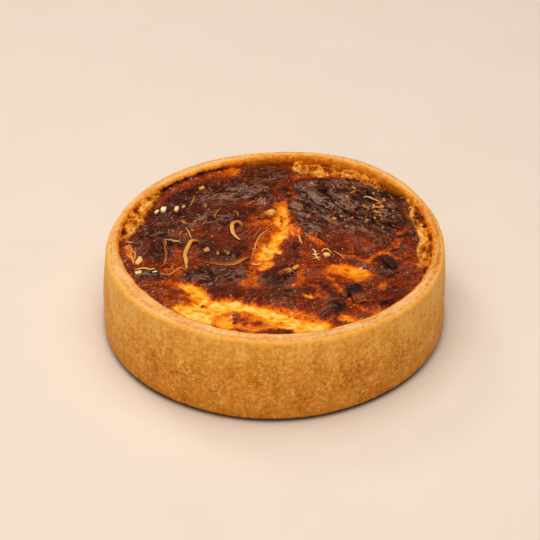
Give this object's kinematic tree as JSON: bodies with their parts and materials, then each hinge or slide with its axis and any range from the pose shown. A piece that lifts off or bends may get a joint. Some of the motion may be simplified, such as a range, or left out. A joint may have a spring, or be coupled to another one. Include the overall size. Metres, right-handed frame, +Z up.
{
  "type": "bacon quiche",
  "caption": "Deep round bacon quiche: straight-sided golden pastry crust holding a browned, cracked egg custard with bacon pieces and onion strips.",
  "frame": {"origin": "centre of the crust's flat underside, on the surface it stands on", "axes": "+Z up through the custard; +X to the right and +Y to the back as the quiche is seen in the picture"},
  "size_m": [0.2028, 0.203, 0.0526],
  "materials": {
    "pastry": "baked shortcrust, golden, dry and finely pitted",
    "custard": "baked egg custard, dark wrinkled skin over glossy orange and yellow",
    "bacon": "baked bacon, browned to charred, greasy",
    "onion": "baked onion strips, golden and translucent"
  },
  "bodies": {
    "root": {"crust": "pastry", "filling": "custard", "bacon_charred": "bacon", "bacon_dark": "bacon", "bacon_golden": "bacon", "bacon_pale": "bacon", "onion_hook": "onion", "onion_leaf": "onion", "onion_strip": "onion", "onion_thread": "onion"}
  },
  "joints": []
}
